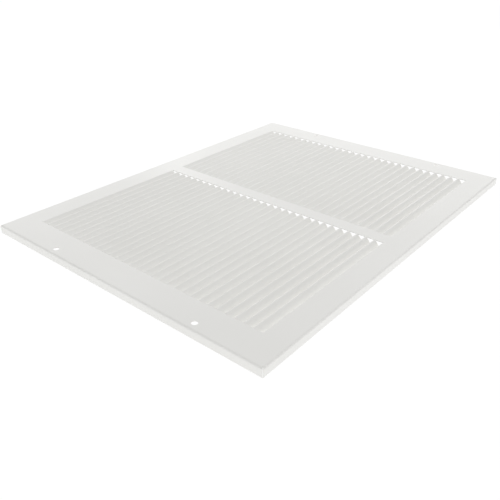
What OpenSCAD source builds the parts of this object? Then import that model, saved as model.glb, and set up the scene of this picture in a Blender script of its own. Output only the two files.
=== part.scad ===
// Return air grille, one sheet of steel: a flat face with two banks of lanced louvres,
// four turned-back edges and four screw holes. It lies face up on its turned-back edges.
// X runs across the louvres, Y runs along them, Z points out of the face.
// The origin is under the middle of the face, on the plane of the turned-back edges.

/* [Face] */
// Overall width, across the louvres
face_w = 298.45; // [220:0.05:600]
// Overall length, along the louvres
face_l = 400.05; // [240:0.05:900]
// Thickness of the sheet
sheet = 0.6; // [0.4:0.05:1.2]
// Height from the rim to the outside of the face
edge_h = 7.5; // [6:0.1:16]
// Inside radius of the fold along each edge
fold_r = 1; // [0.3:0.1:1.6]
// Gap of the open mitre where two folded edges meet
corner_gap = 0.3; // [0.1:0.05:1]

/* [Louvres] */
// Distance from one louvre to the next
pitch = 8.467; // [6:0.001:10]
// Flat land left between two slots
land_w = 0.5; // [0.4:0.1:3]
// Angle of a louvre below the face, just past the bend at its root
louvre_angle = 35; // [15:1:45]
// How much steeper a louvre is at its free edge, in degrees
louvre_curve = 37; // [10:1:40]
// Inside radius of the bend at the root of a louvre
louvre_r = 1; // [0.3:0.1:2]
// Sheared gap at each end of a louvre
end_gap = 0.4; // [0.2:0.05:1]
// Smallest plain margin beside the louvres
side_margin = 22.2; // [12:0.1:60]
// Plain margin past the ends of the louvres
end_margin = 28.6; // [18:0.1:80]
// Plain bar between the two banks of louvres
bar_w = 14.3; // [6:0.1:60]

/* [Screw holes] */
// Diameter of a screw hole
hole_d = 5; // [3:0.1:6]
// Distance from the middle of a hole to the nearest end of the face
hole_inset = 7; // [6.5:0.1:14]
// Distance between the two holes at one end
hole_spacing = 158.75; // [60:0.05:170]
// Shift of the holes from the middle of the face towards +X
hole_shift = 5.4; // [-8:0.1:8]

/* [Hidden] */
$fn = 48;
PAINT = [0.89, 0.89, 0.88];
// How far a cutting shape runs past the sheet
CUT = 1;
// How many degrees too long the bend of a louvre is made, before its root is cut off square
ROOT = 10;

fold_out = fold_r + sheet;
bend_out = louvre_r + sheet;
face_under = edge_h - sheet;
louvre_count = floor((face_w - 2 * side_margin) / pitch);
field_w = louvre_count * pitch;
slot_w = pitch - land_w;
bank_l = (face_l - 2 * end_margin - bar_w) / 2;
bank_mid = (bank_l + bar_w) / 2;
// A louvre unfolds to the width of the slot that it was cut from
bend_len = (louvre_r + sheet / 2) * louvre_angle * PI / 180;
blade_len = slot_w - bend_len;
// Inside radius of the long curve of a louvre, below the bend at its root
curve_r = blade_len / (louvre_curve * PI / 180) - sheet / 2;

// Root of louvre i, where its bend leaves the flat land
function slot_x(i) = -field_w / 2 + land_w + i * pitch;

// A strip of sheet along Y, bent round the Y axis from start to start + angle,
// both in degrees from straight up (+Z) towards +X
module bend(inside, angle, length, start = 0) {
    rotate([-90, -90, 0])
        rotate_extrude(angle = angle, start = start)
            translate([inside, -length / 2]) square([sheet, length]);
}

// Flat face inside the four folds
module flat_face() {
    translate([0, 0, face_under])
        linear_extrude(sheet)
            square([face_w - 2 * fold_out, face_l - 2 * fold_out], center = true);
}

// One turned-back edge with its outside at x = 0, cut to a mitre at both ends
module folded_edge(length) {
    reach = fold_out + CUT;
    setback = corner_gap / sqrt(2);
    difference() {
        union() {
            translate([-fold_out, 0, edge_h - fold_out]) bend(fold_r, 90, length);
            translate([-sheet, -length / 2, 0]) cube([sheet, length, edge_h - fold_out]);
        }
        for (side = [-1, 1])
            translate([0, side * (length / 2 - setback), -CUT])
                linear_extrude(edge_h + 2 * CUT)
                    polygon([[CUT, side * CUT], [-reach, -side * reach], [-reach, side * CUT]]);
    }
}

// One louvre, its root at x = 0 and z = 0: a short bend, then a long curve that falls towards +X.
// The short bend starts ROOT degrees early and is cut off square where it leaves the flat land.
module louvre(length) {
    difference() {
        translate([0, 0, -bend_out])
            rotate([0, louvre_angle, 0]) {
                bend(louvre_r, louvre_angle + ROOT, length, -louvre_angle - ROOT);
                translate([0, 0, louvre_r - curve_r]) bend(curve_r, louvre_curve, length);
            }
        translate([-bend_out, -length / 2 - CUT, -bend_out])
            cube([bend_out, length + 2 * CUT, bend_out + CUT]);
    }
}

// The slots that one bank of louvres is cut from
module bank_slots() {
    for (i = [0 : louvre_count - 1])
        translate([slot_x(i), -bank_l / 2, face_under - CUT])
            cube([slot_w, bank_l, sheet + 2 * CUT]);
}

module bank_louvres() {
    for (i = [0 : louvre_count - 1])
        translate([slot_x(i), 0, edge_h]) louvre(bank_l - 2 * end_gap);
}

module screw_holes() {
    for (side = [-1, 1], end = [-1, 1])
        translate([hole_shift + side * hole_spacing / 2, end * (face_l / 2 - hole_inset), face_under - CUT])
            cylinder(h = sheet + 2 * CUT, d = hole_d);
}

module grille() {
    color(PAINT) {
        difference() {
            flat_face();
            for (end = [-1, 1]) translate([0, end * bank_mid, 0]) bank_slots();
            screw_holes();
        }
        for (end = [-1, 1]) translate([0, end * bank_mid, 0]) bank_louvres();
        for (turn = [0, 180]) {
            rotate(turn) translate([face_w / 2, 0, 0]) folded_edge(face_l);
            rotate(turn + 90) translate([face_l / 2, 0, 0]) folded_edge(face_w);
        }
    }
}

grille();
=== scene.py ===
from math import radians

import bpy
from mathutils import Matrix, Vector

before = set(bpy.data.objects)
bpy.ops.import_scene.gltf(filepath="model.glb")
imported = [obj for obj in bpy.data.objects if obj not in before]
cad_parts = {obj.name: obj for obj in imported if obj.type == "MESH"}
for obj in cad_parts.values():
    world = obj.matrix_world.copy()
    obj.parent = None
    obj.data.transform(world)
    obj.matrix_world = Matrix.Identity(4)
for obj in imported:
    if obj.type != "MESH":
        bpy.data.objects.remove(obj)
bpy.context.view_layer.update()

scene = bpy.context.scene
scene.view_settings.view_transform = "Standard"

WHITE = (1, 1, 1, 1)


# Node helpers

def new_material(name):
    material = bpy.data.materials.new(name)
    material.use_nodes = True
    material.node_tree.nodes.clear()
    return material, material.node_tree.nodes, material.node_tree.links


# A node, with its inputs or its own settings given by name
def add(nodes, kind, **values):
    node = nodes.new(kind)
    for name, value in values.items():
        if name in node.inputs:
            node.inputs[name].default_value = value
        else:
            setattr(node, name, value)
    return node


# Turns a value between low and high into one between new_low and new_high
def spread(nodes, links, value, low, high, new_low, new_high):
    node = nodes.new("ShaderNodeMapRange")
    node.inputs["From Min"].default_value = low
    node.inputs["From Max"].default_value = high
    node.inputs["To Min"].default_value = new_low
    node.inputs["To Max"].default_value = new_high
    links.new(value, node.inputs["Value"])
    return node.outputs["Result"]


# 1 for rays of either kind
def either(nodes, links, first, second):
    node = add(nodes, "ShaderNodeMath", operation="MAXIMUM")
    links.new(first, node.inputs[0])
    links.new(second, node.inputs[1])
    return node.outputs["Value"]


# White powder coat: nearly even, with faint clouds of tone, patches of gloss and a fine orange peel

DARK_PAINT = (0.853, 0.849, 0.824, 1)
LIGHT_PAINT = (0.879, 0.875, 0.851, 1)
GLOSSIEST, DULLEST = 0.30, 0.37
PEEL_DEPTH = 0.00003
# How many clouds, patches of gloss and bumps of peel there are in a metre
CLOUDS, PATCHES, BUMPS = 9, 60, 900


def powder_coat():
    material, nodes, links = new_material("white powder coat")
    place = add(nodes, "ShaderNodeTexCoord")

    def noise(per_metre, detail, roughness):
        node = add(nodes, "ShaderNodeTexNoise", Scale=per_metre, Detail=detail, Roughness=roughness)
        links.new(place.outputs["Object"], node.inputs["Vector"])
        return node.outputs["Fac"]

    paint = nodes.new("ShaderNodeValToRGB")
    darkest, lightest = paint.color_ramp.elements
    darkest.position, darkest.color = 0.3, DARK_PAINT
    lightest.position, lightest.color = 0.7, LIGHT_PAINT
    links.new(noise(CLOUDS, 3, 0.5), paint.inputs["Fac"])

    gloss = spread(nodes, links, noise(PATCHES, 2, 0.5), 0, 1, GLOSSIEST, DULLEST)

    peel = add(nodes, "ShaderNodeBump", Strength=0.25, Distance=PEEL_DEPTH)
    links.new(noise(BUMPS, 2, 0.45), peel.inputs["Height"])

    shader = add(nodes, "ShaderNodeBsdfPrincipled", IOR=1.5)
    links.new(paint.outputs["Color"], shader.inputs["Base Color"])
    links.new(gloss, shader.inputs["Roughness"])
    links.new(peel.outputs["Normal"], shader.inputs["Normal"])
    out = add(nodes, "ShaderNodeOutputMaterial")
    links.new(shader.outputs["BSDF"], out.inputs["Surface"])
    return material


def dress(node, material):
    for slot in bpy.data.objects[node].material_slots:
        slot.material = material


dress("grille", powder_coat())


# Floor: it lights the object evenly, as a light table does, and is white to the camera

FLOOR_HALF = 12.0
FLOOR_DROP = 0.0002
# Tone of the paper and its glow: as the object is lit by it, and as it is seen or mirrored
LIGHTING_FLOOR = (0.08, 1.13)
SEEN_FLOOR = (0.1, 0.94)


def floor_material():
    material, nodes, links = new_material("white floor")
    # Only rays that meet the floor bring its light: it isn't sampled as a lamp
    material.cycles.emission_sampling = "NONE"

    def paper(tone, glow):
        diffuse = add(nodes, "ShaderNodeBsdfDiffuse", Color=(tone, tone, tone, 1))
        light = add(nodes, "ShaderNodeEmission", Color=WHITE, Strength=glow)
        both = add(nodes, "ShaderNodeAddShader")
        links.new(diffuse.outputs["BSDF"], both.inputs[0])
        links.new(light.outputs["Emission"], both.inputs[1])
        return both.outputs["Shader"]

    ray = add(nodes, "ShaderNodeLightPath").outputs
    seen = either(nodes, links, ray["Is Camera Ray"], ray["Is Glossy Ray"])
    seen = either(nodes, links, seen, ray["Is Transmission Ray"])
    mix = add(nodes, "ShaderNodeMixShader")
    links.new(seen, mix.inputs["Fac"])
    links.new(paper(*LIGHTING_FLOOR), mix.inputs[1])
    links.new(paper(*SEEN_FLOOR), mix.inputs[2])
    out = add(nodes, "ShaderNodeOutputMaterial")
    links.new(mix.outputs["Shader"], out.inputs["Surface"])
    return material


def add_floor():
    mesh = bpy.data.meshes.new("floor")
    corners = [(x * FLOOR_HALF, y * FLOOR_HALF, 0) for x, y in ((-1, -1), (1, -1), (1, 1), (-1, 1))]
    mesh.from_pydata(corners, [], [(0, 1, 2, 3)])
    mesh.materials.append(floor_material())
    floor = bpy.data.objects.new("floor", mesh)
    floor.location.z = -FLOOR_DROP
    scene.collection.objects.link(floor)


add_floor()


# World: an even soft room, a little lighter overhead and towards the far end

LIGHT_SIDE = (-0.2, 0.4, 0.9)
ROOM_DIM, ROOM_LIGHT = 0.50, 0.868


def build_world():
    world = bpy.data.worlds.new("soft room")
    scene.world = world
    world.use_nodes = True
    nodes, links = world.node_tree.nodes, world.node_tree.links
    nodes.clear()

    place = add(nodes, "ShaderNodeTexCoord")
    side = add(nodes, "ShaderNodeVectorMath", operation="DOT_PRODUCT")
    side.inputs[1].default_value = LIGHT_SIDE
    links.new(place.outputs["Generated"], side.inputs[0])
    room = add(nodes, "ShaderNodeBackground", Color=WHITE)
    level = spread(nodes, links, side.outputs["Value"], -0.45, 1, ROOM_DIM, ROOM_LIGHT)
    links.new(level, room.inputs["Strength"])

    # Plain white where the camera sees the room itself
    white = add(nodes, "ShaderNodeBackground", Color=WHITE, Strength=1.0)
    ray = add(nodes, "ShaderNodeLightPath").outputs
    mix = add(nodes, "ShaderNodeMixShader")
    links.new(either(nodes, links, ray["Is Camera Ray"], ray["Is Transmission Ray"]), mix.inputs["Fac"])
    links.new(room.outputs["Background"], mix.inputs[1])
    links.new(white.outputs["Background"], mix.inputs[2])
    out = add(nodes, "ShaderNodeOutputWorld")
    links.new(mix.outputs["Shader"], out.inputs["Surface"])


build_world()


# Lamps: weak softboxes beyond the far end and the left side, sized in metres, their power in watts

def softbox(name, place, aim, width, height, power):
    data = bpy.data.lights.new(name, "AREA")
    data.shape = "RECTANGLE"
    data.size = width
    data.size_y = height
    data.energy = power
    lamp = bpy.data.objects.new(name, data)
    lamp.location = place
    lamp.rotation_euler = (Vector(aim) - Vector(place)).to_track_quat("-Z", "Y").to_euler()
    scene.collection.objects.link(lamp)


softbox("far softbox", place=(-0.5, 1.0, 0.3), aim=(0, 0, 0), width=1.2, height=0.5, power=1.5)
softbox("back softbox", place=(0.15, 0.8, 0.6), aim=(-0.05, 0.1, 0), width=0.4, height=0.4, power=0.42)
softbox("left softbox", place=(-1.0, 0.38, 0.45), aim=(-0.1, 0, 0), width=0.9, height=0.5, power=0.95)


# Camera, fitted to the photograph: held level, it looks down across the near right corner

# Place in metres, turn from +Y towards -X and tilt below level in degrees
EYE = (0.317827, -0.424493, 0.247905)
TURN = 40.512
TILT = 29.3174
# Focal length and middle of the lens in pixels of the photograph, which is square
FOCAL_PX = 594.088
CENTRE_PX = (234.126, 250.186)
FRAME_PX = 500
SENSOR_MM = 36.0


def add_camera():
    data = bpy.data.cameras.new("camera")
    data.sensor_width = SENSOR_MM
    data.lens = FOCAL_PX / FRAME_PX * SENSOR_MM
    data.shift_x = (FRAME_PX / 2 - CENTRE_PX[0]) / FRAME_PX
    data.shift_y = (CENTRE_PX[1] - FRAME_PX / 2) / FRAME_PX
    data.clip_start = 0.01
    camera = bpy.data.objects.new("camera", data)
    camera.location = EYE
    camera.rotation_euler = (radians(90 - TILT), 0, radians(TURN))
    scene.collection.objects.link(camera)
    scene.camera = camera


add_camera()
